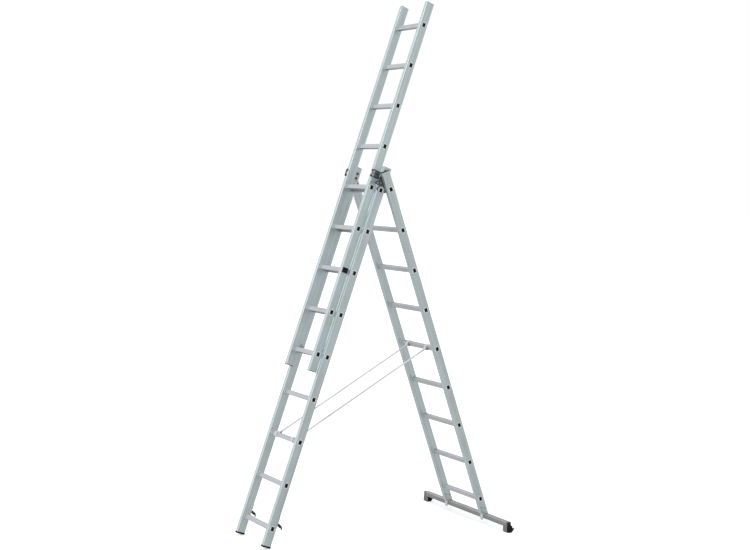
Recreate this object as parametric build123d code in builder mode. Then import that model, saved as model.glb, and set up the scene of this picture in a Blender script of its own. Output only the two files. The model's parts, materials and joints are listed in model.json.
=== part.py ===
"""Three-section combination ladder, opened as a step ladder with its top section pushed up.

The middle section leans one way, the rear section leans the other way and hangs on the middle
section's top rung, and the narrow top section slides along the front of the middle section.

Row frame: +X runs from the middle section's feet towards the rear section's stabiliser bar,
+Y runs along the rungs, +Z is up, and the floor is Z = 0. Right means the -Y side.
"""

import os
from math import asin, cos, degrees, radians, sin

from build123d import *

os.makedirs("parts", exist_ok=True)

# Driving dimensions, in millimetres and degrees.
rung_pitch = 280
rung_count = 9
middle_lean = 18.3
spread_angle = 39.76
raised_rungs = 4

# Half of each section's outer width.
middle_half = 195
rear_half = 225
top_half = 164

# Stile profile: depth runs from the front to the back of a section, width along the rungs.
stile_depth = 56
stile_width = 27
stile_wall = 1.5
stile_corner = 2.5
stile_below = 110
stile_above = 150
rear_above = 118
groove_width = 3
groove_depth = 0.6
groove_gap = 11
section_gap = 53.5

# Rung profile: its ends are flared into a bead inside the stile and a ring outside it.
rung_depth = 25
rung_height = 30
rung_corner = 4
rung_wall = 1.5
flare = 2
flare_thick = 1.2
tread_groove = 1.4
tread_groove_depth = 0.5
tread_groove_gap = 4.2
plug_length = 9
plug_recess = 0.6

# Hinge between the middle and rear sections, about the middle section's top rung.
closed_drop = 13
closed_gap = 57
collar_radius = 26
collar_thick = 2.2
hinge_clearance = 0.06
hinge_thick = 2.4
eye_rim = 8
hinge_hole = 9

# The hinge plate's outline and holes from the pivot at rest: back, then up the middle stile.
hinge_arm = ((-60, 27), (-62, 37), (-46, 52))
hinge_fan = ((-38, 80), (-26, 90), (-12, 88), (40, 70), (76, 30), (72, 4), (44, -4))
hinge_notch = (-26, 24)
hinge_holes = ((-40, 38), (-16, 44), (6, 48), (28, 42))
mouth_width = 60
mouth_drop = 16
hinge_tip_round = 4
hinge_pin_back = -34
hinge_pin_up = rung_pitch * (rung_count - 1) + 88
hinge_pin_radius = 5
hinge_pin_length = 4

# Guides at the top of the middle section, which hold the top section's stiles.
guide_thick = 2
guide_low = 66
guide_high = 114
guide_foot = 60
guide_ear = 130
guide_ear_cut = 8
claw_reach = 16
claw_height = 12
claw_gap = 1.5
claw_thick = 3
shoe_thick = 3
shoe_round = 3
shoe_gap = 2
shoe_rib = 1.6
shoe_rib_height = 7
shoe_rib_inset = 3
bolt_radius = 3
guide_back = 22
guide_bolt_back = 5
guide_bolt_up = rung_pitch * (rung_count - 1) + 95
guide_bolt_gap = 31
guide_head_radius = 8
head_radius = 6
head_thick = 2.4

# Hooks at the foot of the middle and top sections, flat steel on the stile's back face.
hook_thick = 6
hook_pad_width = 21
hook_pad_thick = 2
hook_pad_low = 20
hook_pad_high = 86
hook_rivet_up = 70
hook_rivet_gap = 15
hook_clearance = 0.8
hook_corner = 2.5
hook_strip = 5.5
hook_tip = 5
hook_root_low = 28
hook_root_high = 42
hook_arm = 14
hook_round = 2
rivet_radius = 4
rivet_taper = 25

# Rubber soles, end caps and the stabiliser bar.
sole_thick = 11
sole_overhang = 1.5
sole_round = 3
insert_depth = 24
cap_thick = 4
cover_depth = 38
cover_height = 34
cover_thick = 3
cover_round = 3
bar_length = 970
bar_depth = 38
bar_height = 31
bar_wall = 2.5
bar_groove = 1.6
bar_top = 68
bar_lip = 1.5
end_cap_thick = 12
end_cap_slope = 20
end_cap_drop = 36
end_cap_round = 4
skirt_thick = 4
skirt_low = 6
foot_length = 34
foot_out = 22
foot_front = -16
foot_back = 33
foot_land = 26
foot_rise = 22
foot_edge = 3
foot_step = 10
saddle_wall = 4
saddle_below = 14
saddle_margin = 1
saddle_round = 10
spigot_top = -40
clamp_bolt_up = -62
clamp_bolts = ((-12, 0), (12, -14))

# Webbing straps that stop the two legs from sliding apart.
strap_width = 24
strap_thick = 1.6
strap_side = 110
strap_slack = 0.3
strap_rung_middle = 3
strap_rung_rear = 5

# Inner faces of the stiles, the level at which the rear stiles are cut off and the bar's underside.
middle_inner = middle_half - stile_width
rear_inner = rear_half - stile_width
saddle_top = bar_top + saddle_wall
foot_top = bar_top - bar_height

# Directions along each section: "up" follows the stiles and "back" is square to them.
rear_lean = spread_angle - middle_lean
lean_m = radians(middle_lean)
lean_r = radians(rear_lean)
up_m = Vector(sin(lean_m), 0, cos(lean_m))
back_m = Vector(cos(lean_m), 0, -sin(lean_m))
up_r = Vector(-sin(lean_r), 0, cos(lean_r))
back_r = Vector(cos(lean_r), 0, sin(lean_r))

# The middle section stands on the back edge of its soles, which is rounded.
sole_back = stile_depth / 2 + sole_overhang - sole_round
sole_down = stile_below + sole_thick - sole_round
middle_rung1_z = sole_down * cos(lean_m) + sole_back * sin(lean_m) + sole_round
hinge_span = (rung_count - 1) * rung_pitch

# Rear section's top rung from the middle section's top rung, when folded flat and when open.
spread = radians(spread_angle)
open_up = closed_gap * sin(spread) - closed_drop * cos(spread)
open_back = closed_gap * cos(spread) + closed_drop * sin(spread)
rear_from_middle = up_m * (hinge_span + open_up) + back_m * open_back - up_r * hinge_span

# The stabiliser bar is level and stands where the rear stiles' axis reaches it.
bar_middle_z = bar_top - bar_height / 2
bar_from_rung = (middle_rung1_z + rear_from_middle.Z - bar_middle_z) / cos(lean_r)
bar_from_middle_x = rear_from_middle.X + bar_from_rung * sin(lean_r)

# The origin is under the middle of the whole ladder's box.
front_x = -(stile_below + sole_thick - sole_round) * sin(lean_m) - sole_back * cos(lean_m) - sole_round
back_x = bar_from_middle_x + foot_back
middle_rung1 = Vector(-(front_x + back_x) / 2, 0, middle_rung1_z)
rear_rung1 = middle_rung1 + rear_from_middle
top_rung1 = middle_rung1 + up_m * raised_rungs * rung_pitch - back_m * section_gap
bar_x = middle_rung1.X + bar_from_middle_x

middle_frame = Plane(origin=middle_rung1, x_dir=back_m, z_dir=up_m)
rear_frame = Plane(origin=rear_rung1, x_dir=back_r, z_dir=up_r)
top_frame = Plane(origin=top_rung1, x_dir=back_m, z_dir=up_m)


def along(frame, back, side, up):
    """Plane square to a section's stiles, with x to the back, y along the rungs and z up."""
    place = frame.from_local_coords(Vector(back, side, up))
    return Plane(origin=place, x_dir=frame.x_dir, z_dir=frame.z_dir)


def beside(frame, back, side, up):
    """Plane that faces -Y, with x to the back and y up the stiles."""
    place = frame.from_local_coords(Vector(back, side, up))
    return Plane(origin=place, x_dir=frame.x_dir, z_dir=(0, -1, 0))


def behind(frame, back, side, up):
    """Plane that faces a section's back, with x along the rungs and y up the stiles."""
    place = frame.from_local_coords(Vector(back, side, up))
    return Plane(origin=place, x_dir=(0, 1, 0), z_dir=frame.x_dir)


def save(part, name):
    part.label = name
    export_step(part, f"parts/{name}.step")


def stile_outline():
    """Closed box profile with two grooves down its front face and two down its back face."""
    RectangleRounded(stile_depth, stile_width, stile_corner)
    inner_depth = stile_depth - 2 * stile_wall
    inner_width = stile_width - 2 * stile_wall
    RectangleRounded(inner_depth, inner_width, stile_corner - 1, mode=Mode.SUBTRACT)
    with GridLocations(stile_depth - groove_depth, groove_gap, 2, 2):
        Rectangle(groove_depth, groove_width, mode=Mode.SUBTRACT)


def make_stile(frame, half, hand, low, high):
    """One stile with a hole through both walls for each rung; hand is -1 right, 1 left."""
    side = hand * (half - stile_width / 2)
    with BuildPart() as stile:
        with BuildSketch(along(frame, 0, side, low)):
            stile_outline()
        extrude(amount=high - low)
        with BuildSketch(beside(frame, 0, side, hinge_span / 2)):
            with GridLocations(1, rung_pitch, 1, rung_count):
                RectangleRounded(rung_depth, rung_height, rung_corner)
        extrude(amount=stile_width, both=True, mode=Mode.SUBTRACT)
        if frame is not rear_frame:
            with BuildSketch(hook_rivet_plane(frame, side)):
                hook_rivet_points()
            extrude(amount=2 * stile_wall, both=True, mode=Mode.SUBTRACT)
        if frame is middle_frame:
            with BuildSketch(beside(frame, guide_bolt_back, hand * middle_inner, guide_bolt_up)):
                guide_bolt_points()
            extrude(amount=2 * stile_wall, both=True, mode=Mode.SUBTRACT)
        if frame is rear_frame:
            split(bisect_by=Plane.XY.offset(saddle_top), keep=Keep.TOP)
            with BuildSketch(beside(frame, 0, side, clamp_bolt_up)):
                clamp_bolt_points()
            extrude(amount=stile_width, both=True, mode=Mode.SUBTRACT)
    return stile


def rung_bore(mode):
    inner_depth = rung_depth - 2 * rung_wall
    inner_height = rung_height - 2 * rung_wall
    RectangleRounded(inner_depth, inner_height, rung_corner - rung_wall, mode=mode)


def rung_flange():
    RectangleRounded(rung_depth + 2 * flare, rung_height + 2 * flare, rung_corner + flare)


def make_rung(frame, half, up):
    """One rung across a section, flared inside and outside each stile, open from end to end."""
    with BuildPart() as rung:
        with BuildSketch(beside(frame, 0, 0, up)):
            RectangleRounded(rung_depth, rung_height, rung_corner)
            rung_bore(Mode.SUBTRACT)
            with GridLocations(tread_groove_gap, rung_height - tread_groove_depth, 4, 2):
                Rectangle(tread_groove, tread_groove_depth, mode=Mode.SUBTRACT)
        extrude(amount=half, both=True)
        for hand in (-1, 1):
            for side in (half + flare_thick / 2, half - stile_width - flare_thick / 2):
                with BuildSketch(beside(frame, 0, hand * side, up)):
                    rung_flange()
                    rung_bore(Mode.SUBTRACT)
                extrude(amount=flare_thick / 2, both=True)
    return rung


def make_rung_plugs(frame, half):
    """The plastic plugs in both ends of every rung of a section."""
    with BuildPart() as plugs:
        for hand in (-1, 1):
            side = hand * (half + flare_thick - plug_recess - plug_length / 2)
            with BuildSketch(beside(frame, 0, side, hinge_span / 2)):
                with GridLocations(1, rung_pitch, 1, rung_count):
                    rung_bore(Mode.ADD)
            extrude(amount=plug_length / 2, both=True)
    return plugs


def make_end_caps(frame, half, up, outward, thick, overhang, rounding):
    """A pair of caps or soles on the stile ends, each with an insert inside the profile."""
    with BuildPart() as caps:
        for hand in (-1, 1):
            side = hand * (half - stile_width / 2)
            with BuildSketch(along(frame, 0, side, up)):
                cap_depth = stile_depth + 2 * overhang
                RectangleRounded(cap_depth, stile_width + 2 * overhang, stile_corner + overhang)
            extrude(amount=outward * thick)
        if rounding > 0:
            ends = caps.faces().sort_by(Axis(frame.origin, frame.z_dir * outward))[-2:]
            fillet(ends.edges(), rounding)
        for hand in (-1, 1):
            side = hand * (half - stile_width / 2)
            with BuildSketch(along(frame, 0, side, up)):
                inner_depth = stile_depth - 2 * stile_wall
                inner_width = stile_width - 2 * stile_wall
                RectangleRounded(inner_depth, inner_width, stile_corner - 1)
            extrude(amount=-outward * insert_depth)
    return caps


def hook_rivet_plane(frame, side):
    """Plane on a stile's back face at the middle of its two hook rivets."""
    return behind(frame, stile_depth / 2, side, hook_rivet_up)


def hook_rivet_points():
    with GridLocations(hook_pad_width, hook_rivet_gap, 1, 2):
        Circle(rivet_radius / 2)


def make_hooks(frame, half):
    """The two hooks at a section's foot: an arm off the stile's back face that drops behind a rung."""
    face = stile_depth / 2 + hook_pad_thick
    hook_back = section_gap + rung_depth / 2 + hook_clearance
    rung_top = rung_height / 2 + hook_clearance / 2
    with BuildPart() as hooks:
        for hand in (-1, 1):
            side = hand * (half - stile_width / 2)
            with BuildSketch(beside(frame, 0, side, 0)):
                with BuildLine():
                    Polyline(
                        (stile_depth / 2, hook_root_low),
                        (face, hook_root_low),
                        (hook_back - hook_arm, rung_top),
                        (hook_back - hook_corner, rung_top),
                        (hook_back, rung_top - hook_corner),
                        (hook_back, hook_tip),
                        (hook_back + hook_strip, hook_tip),
                        (hook_back + hook_strip, rung_top + hook_corner),
                        (hook_back - hook_corner, rung_top + hook_arm),
                        (face + hook_arm, hook_root_high - hook_corner),
                        (stile_depth / 2, hook_root_high),
                        close=True,
                    )
                make_face()
            extrude(amount=hook_thick / 2, both=True)
            pad_middle = (hook_pad_low + hook_pad_high) / 2
            with BuildSketch(beside(frame, (stile_depth + hook_pad_thick) / 2, side, pad_middle)):
                Rectangle(hook_pad_thick, hook_pad_high - hook_pad_low)
            extrude(amount=hook_pad_width / 2, both=True)
            with BuildSketch(hook_rivet_plane(frame, side)):
                hook_rivet_points()
            extrude(amount=hook_pad_thick, mode=Mode.SUBTRACT)
        corners = hooks.edges().filter_by(Axis.Y).filter_by(lambda edge: edge.length < hook_thick + 0.1)
        fillet(corners, hook_round)
    return hooks


def make_hook_rivets(frame, half):
    """Blind rivets that hold the hooks' pads to the stiles."""
    with BuildPart() as rivets:
        for hand in (-1, 1):
            side = hand * (half - stile_width / 2)
            plane = hook_rivet_plane(frame, side)
            with BuildSketch(plane.offset(-stile_wall)):
                hook_rivet_points()
            extrude(amount=stile_wall + hook_pad_thick)
            with BuildSketch(plane.offset(hook_pad_thick)):
                with GridLocations(hook_pad_width, hook_rivet_gap, 1, 2):
                    Circle(rivet_radius)
            extrude(amount=rivet_radius / 2, taper=rivet_taper)
    return rivets


def guide_bolt_points():
    with GridLocations(1, guide_bolt_gap, 1, 2):
        Circle(bolt_radius)


def make_guide(hand):
    """Steel plate inside a middle stile that runs forward beside the top stile and claws round it."""
    plate_side = hand * (middle_inner - guide_thick / 2)
    claw_front = -section_gap - stile_depth / 2 - claw_gap
    with BuildPart() as guide:
        with BuildSketch(beside(middle_frame, 0, plate_side, hinge_span)):
            with BuildLine():
                Polyline(
                    (claw_front - claw_thick, guide_low),
                    (-stile_depth / 2, guide_low),
                    (guide_back, guide_foot),
                    (guide_back, guide_ear - guide_ear_cut),
                    (guide_back - guide_ear_cut, guide_ear),
                    (-stile_depth / 2, guide_high),
                    (claw_front - claw_thick, guide_high),
                    close=True,
                )
            make_face()
        extrude(amount=guide_thick / 2, both=True)
        for low in (guide_low, guide_high - claw_height):
            claw_side = hand * (middle_inner - claw_reach / 2)
            claw_up = hinge_span + low + claw_height / 2
            with BuildSketch(behind(middle_frame, claw_front - claw_thick, claw_side, claw_up)):
                RectangleRounded(claw_reach, claw_height, claw_thick)
                with Locations((hand * claw_reach / 4, 0)):
                    Rectangle(claw_reach / 2, claw_height)
            extrude(amount=claw_thick)
        with BuildSketch(beside(middle_frame, guide_bolt_back, plate_side, guide_bolt_up)):
            guide_bolt_points()
        extrude(amount=guide_thick, both=True, mode=Mode.SUBTRACT)
    return guide


def make_guide_shoes():
    """Ribbed plastic shoes that cover the outside of both guides in front of the middle stiles."""
    with BuildPart() as shoes:
        back = -stile_depth / 2 - shoe_gap
        front = -section_gap - stile_depth / 2
        middle_up = hinge_span + (guide_low + guide_high) / 2
        for hand in (-1, 1):
            side = hand * (middle_inner + shoe_thick / 2)
            with BuildSketch(beside(middle_frame, (front + back) / 2, side, middle_up)):
                RectangleRounded(back - front, guide_high - guide_low, shoe_round)
            extrude(amount=shoe_thick / 2, both=True)
            side = hand * (middle_inner + shoe_thick + shoe_rib / 2)
            with BuildSketch(beside(middle_frame, (front + back) / 2, side, middle_up)):
                with GridLocations(1, 2 * shoe_rib_height, 1, 3):
                    RectangleRounded(back - front - 2 * shoe_rib_inset, shoe_rib_height, shoe_round - 1)
            extrude(amount=shoe_rib / 2, both=True)
    return shoes


def make_guide_bolts():
    """Bolts through the guides into the middle stiles, with large heads on the inside."""
    heads = (
        (-guide_thick - head_thick / 2, guide_head_radius),
        (stile_wall + head_thick / 2, head_radius),
    )
    with BuildPart() as bolts:
        for hand in (-1, 1):
            shank = guide_thick + stile_wall
            side = hand * (middle_inner - guide_thick + shank / 2)
            with BuildSketch(beside(middle_frame, guide_bolt_back, side, guide_bolt_up)):
                guide_bolt_points()
            extrude(amount=shank / 2, both=True)
            for outward, radius in heads:
                side = hand * (middle_inner + outward)
                with BuildSketch(beside(middle_frame, guide_bolt_back, side, guide_bolt_up)):
                    with GridLocations(1, guide_bolt_gap, 1, 2):
                        RegularPolygon(radius, 6)
                extrude(amount=head_thick / 2, both=True)
    return bolts


def make_pivot_collars():
    """Round collars on the ends of the middle section's top rung: the hinge plates turn on them."""
    with BuildPart() as collars:
        for hand in (-1, 1):
            side = hand * (middle_half + collar_thick / 2)
            with BuildSketch(beside(middle_frame, 0, side, hinge_span)):
                Circle(collar_radius)
            extrude(amount=collar_thick / 2, both=True)
            with BuildSketch(beside(middle_frame, 0, side, hinge_span)):
                rung_flange()
            extrude(amount=collar_thick, both=True, mode=Mode.SUBTRACT)
    return collars


def make_hinge_plate(hand):
    """Fan-shaped steel plate, square on the rear top rung and hooked round the pivot collar."""
    side = hand * (rear_inner - hinge_thick / 2)
    eye_radius = collar_radius + hinge_clearance
    pin = rear_frame.from_local_coords(Vector(hinge_pin_back, side, hinge_pin_up))
    rung_end = rear_frame.from_local_coords(Vector(0, side, hinge_span))
    with BuildPart() as plate:
        with BuildSketch(beside(middle_frame, 0, side, hinge_span)):
            Circle(eye_radius + eye_rim)
            with BuildLine():
                Polyline(*hinge_arm, *hinge_fan, (eye_radius, 0), hinge_notch, close=True)
            make_face()
            Circle(eye_radius, mode=Mode.SUBTRACT)
            with BuildLine():
                Polyline(
                    (0, 0),
                    (-mouth_width, -mouth_drop),
                    (-mouth_width, -mouth_width),
                    (mouth_width, -mouth_width),
                    (mouth_width, -mouth_drop),
                    close=True,
                )
            make_face(mode=Mode.SUBTRACT)
            with Locations(*hinge_holes):
                Circle(hinge_hole / 2, mode=Mode.SUBTRACT)
        extrude(amount=hinge_thick / 2, both=True)
        corners = plate.edges().filter_by(Axis.Y)
        fillet(corners.sort_by(Axis.X)[:2], hinge_tip_round)
        with BuildSketch(Plane(origin=rung_end, x_dir=rear_frame.x_dir, z_dir=(0, -1, 0))):
            rung_flange()
        extrude(amount=hinge_thick, both=True, mode=Mode.SUBTRACT)
        with BuildSketch(Plane(origin=pin, x_dir=rear_frame.x_dir, z_dir=(0, -1, 0))):
            Circle(bolt_radius)
        extrude(amount=hinge_thick, both=True, mode=Mode.SUBTRACT)
    return plate


def make_rear_bolts():
    """The hinge plates' pins and the bolts that hold the bar clamps inside the rear stiles."""
    with BuildPart() as bolts:
        for hand in (-1, 1):
            side = hand * rear_inner
            shank_side = hand * (rear_inner - hinge_thick / 2)
            with BuildSketch(beside(rear_frame, hinge_pin_back, shank_side, hinge_pin_up)):
                Circle(bolt_radius)
            extrude(amount=hinge_thick / 2, both=True)
            head_side = side + hand * hinge_pin_length / 2
            with BuildSketch(beside(rear_frame, hinge_pin_back, head_side, hinge_pin_up)):
                Circle(hinge_pin_radius)
            extrude(amount=hinge_pin_length / 2, both=True)
            side = hand * (rear_half - stile_width / 2)
            with BuildSketch(beside(rear_frame, 0, side, clamp_bolt_up)):
                clamp_bolt_points()
            extrude(amount=stile_width / 2, both=True)
            for face in (-1, 1):
                head_side = side + face * (stile_width + head_thick) / 2
                with BuildSketch(beside(rear_frame, 0, head_side, clamp_bolt_up)):
                    with Locations(*clamp_bolts):
                        RegularPolygon(head_radius, 6)
                extrude(amount=head_thick / 2, both=True)
    return bolts


def clamp_bolt_points():
    with Locations(*clamp_bolts):
        Circle(bolt_radius)


def make_bar_clamps():
    """Saddles astride the stabiliser bar, each with a spigot inside the foot of a rear stile."""
    leg_middle = bar_depth / 2 + saddle_wall / 2
    leg_low = bar_top - bar_height - saddle_below
    leg_height = bar_top + saddle_wall - leg_low
    foot_up = (saddle_top - rear_rung1.Z) / cos(lean_r)
    spigot_low = foot_up - stile_depth
    width = stile_width + 2 * saddle_margin
    with BuildPart() as clamps:
        for hand in (-1, 1):
            side = hand * (rear_half - stile_width / 2)
            with BuildSketch(along(rear_frame, 0, side, spigot_low)):
                RectangleRounded(
                    stile_depth - 2 * stile_wall, stile_width - 2 * stile_wall, stile_corner - 1
                )
            extrude(amount=spigot_top - spigot_low)
        split(bisect_by=Plane.XY.offset(bar_top), keep=Keep.TOP)
        for hand in (-1, 1):
            side = hand * (rear_half - stile_width / 2)
            with BuildSketch(beside(rear_frame, 0, side, clamp_bolt_up)):
                clamp_bolt_points()
            extrude(amount=stile_width, both=True, mode=Mode.SUBTRACT)
            with BuildSketch(Plane(origin=(bar_x, side, bar_top))):
                Rectangle(bar_depth + 2 * saddle_wall, width)
            extrude(amount=saddle_wall)
            for face in (-1, 1):
                leg_x = bar_x + face * leg_middle
                with BuildSketch(Plane(origin=(leg_x, side, bar_top), x_dir=(0, 1, 0), z_dir=(1, 0, 0))):
                    with Locations((0, saddle_wall - leg_height / 2)):
                        RectangleRounded(width, leg_height, saddle_round)
                    with Locations((0, saddle_wall - saddle_round / 2)):
                        Rectangle(width, saddle_round)
                extrude(amount=saddle_wall / 2, both=True)
    return clamps


def make_bar():
    """The level hollow bar with two grooves along its top and its front."""
    with BuildPart() as bar:
        with BuildSketch(Plane(origin=(bar_x, 0, bar_middle_z), z_dir=(0, -1, 0), x_dir=(1, 0, 0))):
            RectangleRounded(bar_depth, bar_height, stile_corner)
            RectangleRounded(bar_depth - 2 * bar_wall, bar_height - 2 * bar_wall, 1, mode=Mode.SUBTRACT)
            with GridLocations(bar_depth / 3, bar_height - bar_groove, 2, 2):
                Rectangle(groove_width, bar_groove, mode=Mode.SUBTRACT)
            with GridLocations(bar_depth - bar_groove, bar_height / 3, 2, 2):
                Rectangle(bar_groove, groove_width, mode=Mode.SUBTRACT)
        extrude(amount=bar_length / 2, both=True)
    return bar


def bar_end(side):
    """Plane square to the bar that faces -Y, with its origin on the floor under the bar's axis."""
    return Plane(origin=(bar_x, side, 0), x_dir=(1, 0, 0), z_dir=(0, -1, 0))


def make_bar_caps():
    """Plastic caps that close the bar's ends, each with a skirt down the front of its rubber foot."""
    with BuildPart() as caps:
        cap_half = bar_depth / 2 + bar_lip
        cap_low = foot_top - foot_step
        cap_high = bar_top + bar_lip
        for hand in (-1, 1):
            with BuildSketch(bar_end(hand * (bar_length + end_cap_thick) / 2)):
                with BuildLine():
                    Polyline(
                        (-cap_half, cap_low),
                        (cap_half, cap_low),
                        (cap_half, cap_high - end_cap_drop),
                        (cap_half - end_cap_slope, cap_high),
                        (-cap_half, cap_high),
                        close=True,
                    )
                outline = make_face()
                fillet(outline.vertices(), end_cap_round)
            extrude(amount=end_cap_thick / 2, both=True)
            skirt_length = foot_length + end_cap_thick
            with BuildSketch(bar_end(hand * (bar_length / 2 + end_cap_thick - skirt_length / 2))):
                with Locations((foot_front - skirt_thick / 2, (skirt_low + foot_top) / 2)):
                    Rectangle(skirt_thick, foot_top - skirt_low)
            extrude(amount=skirt_length / 2, both=True)
            with BuildSketch(bar_end(hand * (bar_length - insert_depth) / 2)):
                with Locations((0, bar_middle_z)):
                    RectangleRounded(bar_depth - 2 * bar_wall, bar_height - 2 * bar_wall, 1)
            extrude(amount=insert_depth / 2, both=True)
    return caps


def foot_corners(high):
    """End view of a rubber foot: flat on the floor at the front, rising towards the back."""
    return [
        (foot_front, 0),
        (foot_front + foot_land, 0),
        (foot_back, foot_rise),
        (foot_back, high),
        (foot_front, high),
    ]


def make_bar_feet():
    """Rubber feet under the bar's ends and a little beyond them."""
    with BuildPart() as feet:
        for hand in (-1, 1):
            with BuildSketch(bar_end(hand * (bar_length - foot_length) / 2)):
                with BuildLine():
                    Polyline(foot_corners(foot_top), close=True)
                make_face()
            extrude(amount=foot_length / 2, both=True)
            with BuildSketch(bar_end(hand * (bar_length + foot_out) / 2)):
                with BuildLine():
                    Polyline(foot_corners(foot_top - foot_step), close=True)
                make_face()
            extrude(amount=foot_out / 2, both=True)
        outer_ends = feet.faces().filter_by(Axis.Y).sort_by(Axis.Y)
        rims = outer_ends[0].edges() + outer_ends[-1].edges()
        fillet(rims, foot_edge)
    return feet


def strap_loops(run, grow, mode):
    """The outlines of both rungs that a strap goes round, grown by a margin."""
    for x, y, turn in ((0, 0, -middle_lean), (run.X, run.Z, rear_lean)):
        with Locations(Location((x, y, 0), (0, 0, turn))):
            RectangleRounded(
                rung_depth + 2 * grow, rung_height + 2 * grow, rung_corner + grow, mode=mode
            )


def make_strap(side):
    """Taut webbing from a rung of the middle section to a rung of the rear section, looped at both ends."""
    lower = middle_frame.from_local_coords(Vector(0, side, (strap_rung_middle - 1) * rung_pitch))
    upper = rear_frame.from_local_coords(Vector(0, side, (strap_rung_rear - 1) * rung_pitch))
    run = upper - lower
    slope = degrees(asin(run.Z / run.length))
    with BuildPart() as strap:
        with BuildSketch(Plane(origin=lower, x_dir=(1, 0, 0), z_dir=(0, -1, 0))):
            strap_loops(run, strap_slack + strap_thick, Mode.ADD)
            with Locations(Location((run.X / 2, run.Z / 2, 0), (0, 0, slope))):
                Rectangle(run.length, strap_thick)
            strap_loops(run, strap_slack, Mode.SUBTRACT)
        extrude(amount=strap_width / 2, both=True)
    return strap


def make_cover_plate():
    """Square cover over the right end of the top section's third rung."""
    with BuildPart() as cover:
        side = -(top_half + flare_thick + cover_thick / 2)
        with BuildSketch(beside(top_frame, 0, side, 2 * rung_pitch)):
            RectangleRounded(cover_depth, cover_height, cover_round)
        extrude(amount=cover_thick / 2, both=True)
    return cover


sections = (
    ("middle", middle_frame, middle_half, -stile_below, hinge_span + stile_above),
    ("rear", rear_frame, rear_half, -2 * stile_below, hinge_span + rear_above),
    ("top", top_frame, top_half, -stile_below, hinge_span + stile_above),
)
for section, frame, half, low, high in sections:
    for hand, word in ((-1, "right"), (1, "left")):
        stile = make_stile(frame, half, hand, low, high)
        save(stile.part, f"{section}_stile_{word}")
    for number in range(1, rung_count + 1):
        rung = make_rung(frame, half, (number - 1) * rung_pitch)
        save(rung.part, f"{section}_rung_{number}")
    rung_plugs = make_rung_plugs(frame, half)
    save(rung_plugs.part, f"{section}_rung_plugs")
    top_caps = make_end_caps(frame, half, high, 1, cap_thick, 0, 0)
    save(top_caps.part, f"{section}_top_caps")

middle_soles = make_end_caps(
    middle_frame, middle_half, -stile_below, -1, sole_thick, sole_overhang, sole_round
)
save(middle_soles.part, "middle_soles")
top_end_caps = make_end_caps(top_frame, top_half, -stile_below, -1, cap_thick, 0, 0)
save(top_end_caps.part, "top_bottom_caps")

for section, frame, half in (("middle", middle_frame, middle_half), ("top", top_frame, top_half)):
    hooks = make_hooks(frame, half)
    save(hooks.part, f"{section}_hooks")
    hook_rivets = make_hook_rivets(frame, half)
    save(hook_rivets.part, f"{section}_hook_rivets")

for hand, word in ((-1, "right"), (1, "left")):
    guide = make_guide(hand)
    save(guide.part, f"guide_{word}")
    hinge_plate = make_hinge_plate(hand)
    save(hinge_plate.part, f"hinge_plate_{word}")
    strap = make_strap(hand * strap_side)
    save(strap.part, f"strap_{word}")

guide_shoes = make_guide_shoes()
save(guide_shoes.part, "guide_shoes")
guide_bolts = make_guide_bolts()
save(guide_bolts.part, "guide_bolts")
pivot_collars = make_pivot_collars()
save(pivot_collars.part, "pivot_collars")
rear_bolts = make_rear_bolts()
save(rear_bolts.part, "rear_bolts")
bar_clamps = make_bar_clamps()
save(bar_clamps.part, "bar_clamps")
bar = make_bar()
save(bar.part, "stabiliser_bar")
bar_caps = make_bar_caps()
save(bar_caps.part, "bar_end_caps")
bar_feet = make_bar_feet()
save(bar_feet.part, "bar_feet")
cover_plate = make_cover_plate()
save(cover_plate.part, "cover_plate")
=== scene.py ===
"""Looks for the three-section combination ladder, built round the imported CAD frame.

Everything is in metres in the row frame: +X towards the stabiliser bar, +Y along the rungs, +Z up.
A section's own directions are "back", square to its stiles, and "up", along them.
"""

import json
import math

import bmesh
import bpy
from mathutils import Matrix, Vector


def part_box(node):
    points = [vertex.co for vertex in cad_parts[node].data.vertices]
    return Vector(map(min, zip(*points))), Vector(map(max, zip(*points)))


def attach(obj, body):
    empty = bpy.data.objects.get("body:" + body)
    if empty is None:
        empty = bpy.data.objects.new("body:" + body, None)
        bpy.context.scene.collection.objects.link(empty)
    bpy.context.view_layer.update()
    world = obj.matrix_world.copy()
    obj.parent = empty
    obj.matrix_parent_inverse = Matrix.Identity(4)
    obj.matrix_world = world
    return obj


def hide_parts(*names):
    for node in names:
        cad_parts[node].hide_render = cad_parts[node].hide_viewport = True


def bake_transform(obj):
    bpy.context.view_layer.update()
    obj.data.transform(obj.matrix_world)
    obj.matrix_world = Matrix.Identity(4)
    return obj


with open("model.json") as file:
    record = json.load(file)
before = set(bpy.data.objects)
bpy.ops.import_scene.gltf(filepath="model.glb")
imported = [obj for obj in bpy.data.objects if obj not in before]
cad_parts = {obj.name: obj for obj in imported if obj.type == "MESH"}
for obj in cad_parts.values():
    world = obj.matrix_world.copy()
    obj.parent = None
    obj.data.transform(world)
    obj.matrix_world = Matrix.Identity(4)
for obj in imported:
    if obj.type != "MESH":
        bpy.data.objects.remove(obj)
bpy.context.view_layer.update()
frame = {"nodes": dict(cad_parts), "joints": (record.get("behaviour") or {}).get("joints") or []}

JOINTS = {joint["name"]: joint for joint in frame["joints"]}
SPREAD = math.radians(JOINTS["spread_hinge"]["range_deg"][1])
ACROSS = Vector((0, 1, 0))
RIGHT, LEFT = -1, 1


def middle_of(node):
    low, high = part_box(node)
    return (low + high) / 2


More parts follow.
